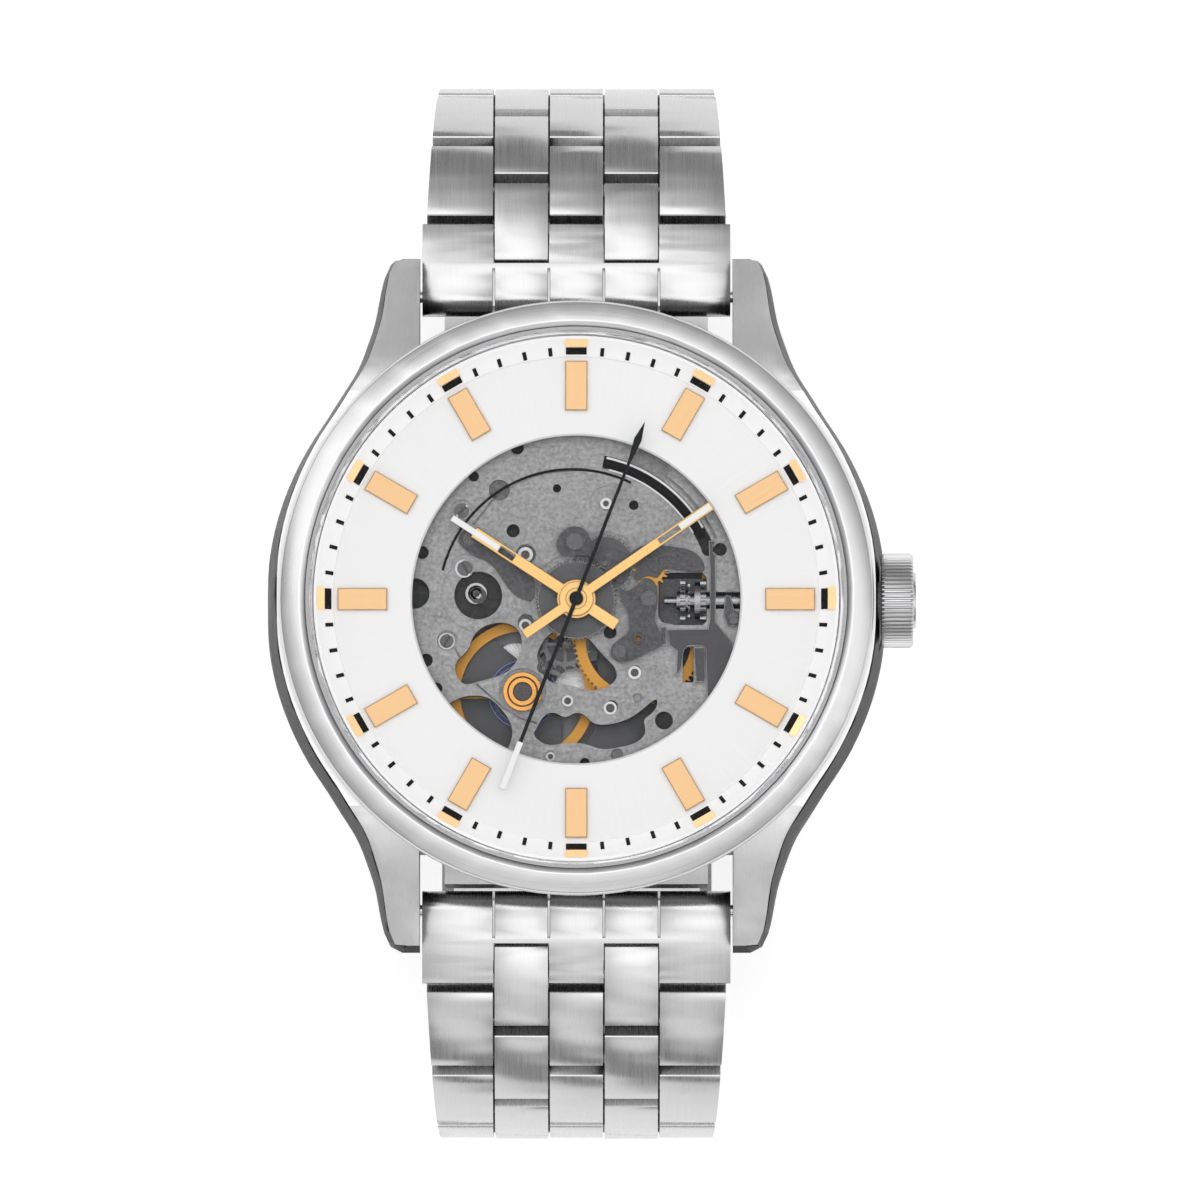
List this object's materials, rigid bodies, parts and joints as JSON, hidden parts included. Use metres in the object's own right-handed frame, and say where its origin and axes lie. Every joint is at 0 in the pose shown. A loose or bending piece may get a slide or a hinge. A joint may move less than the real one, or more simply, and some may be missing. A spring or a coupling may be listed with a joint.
{
  "type": "skeleton wristwatch",
  "caption": "Automatic skeleton wristwatch with an open-centre white dial, gold batons and hands, and a closed five-row brushed steel bracelet with a folding clasp.",
  "frame": {"origin": "on the flat underside of the clasp, under the hands' axis", "axes": "+Z dial up, +X towards the crown at 3 o'clock, +Y towards 12 o'clock"},
  "size_m": [0.0419, 0.0686, 0.0444],
  "materials": {
    "brushed_case": "brushed",
    "polished": "polished",
    "sapphire": "gloss",
    "rubber_seal": "matte",
    "white_dial": "satin",
    "gold": "satin",
    "plate_grey": "matte",
    "dark_steel": "satin",
    "gear_gold": "satin",
    "jewel_red": "gloss",
    "black_hand": "satin",
    "bracelet_steel": "brushed",
    "rehaut_white": "satin",
    "blued_spring": "satin"
  },
  "bodies": {
    "head": {"case_middle": "brushed_case", "bezel": "brushed_case", "crystal": "sapphire", "seals_and_tube": "rubber_seal", "rehaut_ring": "rehaut_white", "dial": "white_dial", "hour_markers": "gold", "movement_ring": "plate_grey", "caseback": "brushed_case", "main_plate": "plate_grey", "train_bridge": "plate_grey", "balance_cock": "plate_grey", "dial_side_plates": "dark_steel", "keyless_springs": "dark_steel", "movement_screws": "polished", "jewels": "jewel_red", "lug_spring_bars": "polished", "hairspring": "blued_spring"},
    "seconds": {"second_hand": "black_hand", "fourth_wheel": "gear_gold"},
    "minutes": {"minute_hand": "gold", "cannon_pinion": "polished"},
    "hours": {"hour_hand": "gold", "hour_wheel": "plate_grey"},
    "third": {"third_wheel": "gear_gold"},
    "second_wheel_body": {"second_wheel": "gear_gold"},
    "barrel": {"mainspring_barrel": "polished"},
    "minute_wheel_body": {"minute_wheel": "plate_grey"},
    "escape": {"escape_wheel": "polished"},
    "pallet": {"pallet_fork": "polished"},
    "balance": {"balance_wheel": "gear_gold"},
    "rotor_body": {"rotor": "dark_steel"},
    "ratchet": {"ratchet_wheel": "polished"},
    "winding": {"winding_pinion": "polished"},
    "clutch": {"sliding_pinion": "polished"},
    "crown_body": {"crown": "brushed_case", "winding_stem": "polished"},
    "setting": {"setting_lever": "dark_steel"},
    "inner_blade": {"clasp_inner_blade": "bracelet_steel"},
    "outer_blade": {"clasp_outer_blade": "bracelet_steel"},
    "cover": {"clasp_cover": "bracelet_steel"},
    "catch": {"clasp_safety_catch": "bracelet_steel"},
    "end_12": {"end_link_12": "bracelet_steel"},
    "end_6": {"end_link_6": "bracelet_steel"},
    "b12_1": {"link_12_1": "bracelet_steel"},
    "b6_1": {"link_6_1": "bracelet_steel"},
    "b12_2": {"link_12_2": "bracelet_steel"},
    "b6_2": {"link_6_2": "bracelet_steel"},
    "b12_3": {"link_12_3": "bracelet_steel"},
    "b6_3": {"link_6_3": "bracelet_steel"},
    "b12_4": {"link_12_4": "bracelet_steel"},
    "b6_4": {"link_6_4": "bracelet_steel"},
    "b12_5": {"link_12_5": "bracelet_steel"},
    "b6_5": {"link_6_5": "bracelet_steel"},
    "b12_6": {"link_12_6": "bracelet_steel"},
    "b6_6": {"link_6_6": "bracelet_steel"},
    "b12_7": {"link_12_7": "bracelet_steel"},
    "b6_7": {"link_6_7": "bracelet_steel"},
    "b12_8": {"link_12_8": "bracelet_steel"},
    "b6_8": {"link_6_8": "bracelet_steel"}
  },
  "joints": [
    {"name": "seconds_turn", "type": "hinge", "parent": "head", "child": "seconds", "pos_m": [0, 0, 0.0424], "axis": [0, 0, -1], "continuous": true},
    {"name": "minutes_turn", "type": "hinge", "parent": "head", "child": "minutes", "pos_m": [0, 0, 0.0414], "axis": [0, 0, -1], "continuous": true},
    {"name": "hours_turn", "type": "hinge", "parent": "head", "child": "hours", "pos_m": [0, 0, 0.0414], "axis": [0, 0, -1], "continuous": true},
    {"name": "third_wheel_turn", "type": "hinge", "parent": "head", "child": "third", "pos_m": [0.00401, -0.00247, 0.0374], "axis": [0, 0, -1], "continuous": true},
    {"name": "second_wheel_turn", "type": "hinge", "parent": "head", "child": "second_wheel_body", "pos_m": [0.0048, 0.00196, 0.0374], "axis": [0, 0, -1], "continuous": true},
    {"name": "barrel_turn", "type": "hinge", "parent": "head", "child": "barrel", "pos_m": [0.002, 0.007, 0.0364], "axis": [0, 0, -1], "continuous": true},
    {"name": "minute_wheel_turn", "type": "hinge", "parent": "head", "child": "minute_wheel_body", "pos_m": [0.00184, 0.00234, 0.0399], "axis": [0, 0, -1], "continuous": true},
    {"name": "escape_wheel_turn", "type": "hinge", "parent": "head", "child": "escape", "pos_m": [-0.00073, -0.00272, 0.0374], "axis": [0, 0, -1], "continuous": true},
    {"name": "pallet_rock", "type": "hinge", "parent": "head", "child": "pallet", "pos_m": [-0.00213, -0.00435, 0.0374], "axis": [0, 0, 1], "range_deg": [-5, 5]},
    {"name": "balance_swing", "type": "hinge", "parent": "head", "child": "balance", "pos_m": [-0.00347, -0.0059, 0.0364], "axis": [0, 0, 1], "range_deg": [-140, 140]},
    {"name": "rotor_turn", "type": "hinge", "parent": "head", "child": "rotor_body", "pos_m": [0, 0, 0.0344], "axis": [0, 0, 1], "continuous": true},
    {"name": "winding_turn", "type": "hinge", "parent": "head", "child": "winding", "pos_m": [0.008, 0, 0.0393], "axis": [1, 0, 0], "continuous": true},
    {"name": "clutch_slide", "type": "slide", "parent": "winding", "child": "clutch", "axis": [-1, 0, 0], "range_m": [0, 0.0004]},
    {"name": "crown_pull", "type": "slide", "parent": "winding", "child": "crown_body", "axis": [1, 0, 0], "range_m": [0, 0.0012]},
    {"name": "setting_lever_turn", "type": "hinge", "parent": "head", "child": "setting", "pos_m": [0.01015, -0.0012, 0.0398], "axis": [0, 0, 1], "range_deg": [-12, 0]},
    {"name": "ratchet_turn", "type": "hinge", "parent": "head", "child": "ratchet", "pos_m": [0.002, 0.007, 0.0351], "axis": [0, 0, 1], "continuous": true},
    {"name": "end_link_12_turn", "type": "hinge", "parent": "head", "child": "end_12", "pos_m": [0, 0.0199, 0.0356], "axis": [1, 0, 0], "range_deg": [0, 20]},
    {"name": "end_link_6_turn", "type": "hinge", "parent": "head", "child": "end_6", "pos_m": [0, -0.0199, 0.0356], "axis": [-1, 0, 0], "range_deg": [0, 20]},
    {"name": "link_12_1_turn", "type": "hinge", "parent": "end_12", "child": "b12_1", "pos_m": [0, 0.0232, 0.03508], "axis": [1, 0, 0], "range_deg": [0, 5]},
    {"name": "link_6_1_turn", "type": "hinge", "parent": "end_6", "child": "b6_1", "pos_m": [0, -0.0232, 0.03508], "axis": [-1, 0, 0], "range_deg": [0, 5]},
    {"name": "link_12_2_turn", "type": "hinge", "parent": "b12_1", "child": "b12_2", "pos_m": [0, 0.02823, 0.0332], "axis": [1, 0, 0], "range_deg": [0, 14]},
    {"name": "link_6_2_turn", "type": "hinge", "parent": "b6_1", "child": "b6_2", "pos_m": [0, -0.02823, 0.0332], "axis": [-1, 0, 0], "range_deg": [0, 14]},
    {"name": "link_12_3_turn", "type": "hinge", "parent": "b12_2", "child": "b12_3", "pos_m": [0, 0.03177, 0.02919], "axis": [1, 0, 0], "range_deg": [0, 15]},
    {"name": "link_6_3_turn", "type": "hinge", "parent": "b6_2", "child": "b6_3", "pos_m": [0, -0.03177, 0.02919], "axis": [-1, 0, 0], "range_deg": [0, 15]},
    {"name": "link_12_4_turn", "type": "hinge", "parent": "b12_3", "child": "b12_4", "pos_m": [0, 0.03289, 0.02395], "axis": [1, 0, 0], "range_deg": [0, 8]},
    {"name": "link_6_4_turn", "type": "hinge", "parent": "b6_3", "child": "b6_4", "pos_m": [0, -0.03289, 0.02395], "axis": [-1, 0, 0], "range_deg": [0, 8]},
    {"name": "link_12_5_turn", "type": "hinge", "parent": "b12_4", "child": "b12_5", "pos_m": [0, 0.03237, 0.01858], "axis": [1, 0, 0], "range_deg": [0, 6]},
    {"name": "link_6_5_turn", "type": "hinge", "parent": "b6_4", "child": "b6_5", "pos_m": [0, -0.03237, 0.01858], "axis": [-1, 0, 0], "range_deg": [0, 6]},
    {"name": "link_12_6_turn", "type": "hinge", "parent": "b12_5", "child": "b12_6", "pos_m": [0, 0.03075, 0.01344], "axis": [1, 0, 0], "range_deg": [0, 8]},
    {"name": "link_6_6_turn", "type": "hinge", "parent": "b6_5", "child": "b6_6", "pos_m": [0, -0.03075, 0.01344], "axis": [-1, 0, 0], "range_deg": [0, 8]},
    {"name": "link_12_7_turn", "type": "hinge", "parent": "b12_6", "child": "b12_7", "pos_m": [0, 0.02782, 0.00892], "axis": [1, 0, 0], "range_deg": [0, 9]},
    {"name": "link_6_7_turn", "type": "hinge", "parent": "b6_6", "child": "b6_7", "pos_m": [0, -0.02782, 0.00892], "axis": [-1, 0, 0], "range_deg": [0, 9]},
    {"name": "link_12_8_turn", "type": "hinge", "parent": "b12_7", "child": "b12_8", "pos_m": [0, 0.02366, 0.00549], "axis": [1, 0, 0], "range_deg": [0, 8]},
    {"name": "link_6_8_turn", "type": "hinge", "parent": "b6_7", "child": "b6_8", "pos_m": [0, -0.02366, 0.00549], "axis": [-1, 0, 0], "range_deg": [0, 8]},
    {"name": "inner_blade_turn", "type": "hinge", "parent": "b12_8", "child": "inner_blade", "pos_m": [0, 0.01872, 0.00334], "axis": [1, 0, 0], "range_deg": [0, 15]},
    {"name": "outer_blade_fold", "type": "hinge", "parent": "inner_blade", "child": "outer_blade", "pos_m": [0, -0.0126, 0.00205], "axis": [-1, 0, 0], "range_deg": [0, 150]},
    {"name": "cover_open", "type": "hinge", "parent": "outer_blade", "child": "cover", "pos_m": [0, 0.0146, 0.00155], "axis": [1, 0, 0], "range_deg": [0, 150]},
    {"name": "safety_catch_flip", "type": "hinge", "parent": "cover", "child": "catch", "pos_m": [0, 0.0098, 0.00062], "axis": [-1, 0, 0], "range_deg": [0, 95]}
  ],
  "couplings": [
    {"joint": "minutes_turn", "follows": "seconds_turn", "ratio": 0.016667},
    {"joint": "hours_turn", "follows": "seconds_turn", "ratio": 0.0013889},
    {"joint": "third_wheel_turn", "follows": "seconds_turn", "ratio": -0.13333},
    {"joint": "second_wheel_turn", "follows": "seconds_turn", "ratio": 0.016667},
    {"joint": "barrel_turn", "follows": "seconds_turn", "ratio": -0.002381},
    {"joint": "minute_wheel_turn", "follows": "seconds_turn", "ratio": -0.0088889},
    {"joint": "escape_wheel_turn", "follows": "seconds_turn", "ratio": -12},
    {"joint": "clutch_slide", "follows": "crown_pull", "ratio": 0.33333},
    {"joint": "ratchet_turn", "follows": "winding_turn", "ratio": 0.25},
    {"joint": "outer_blade_fold", "follows": "cover_open", "ratio": 1}
  ]
}
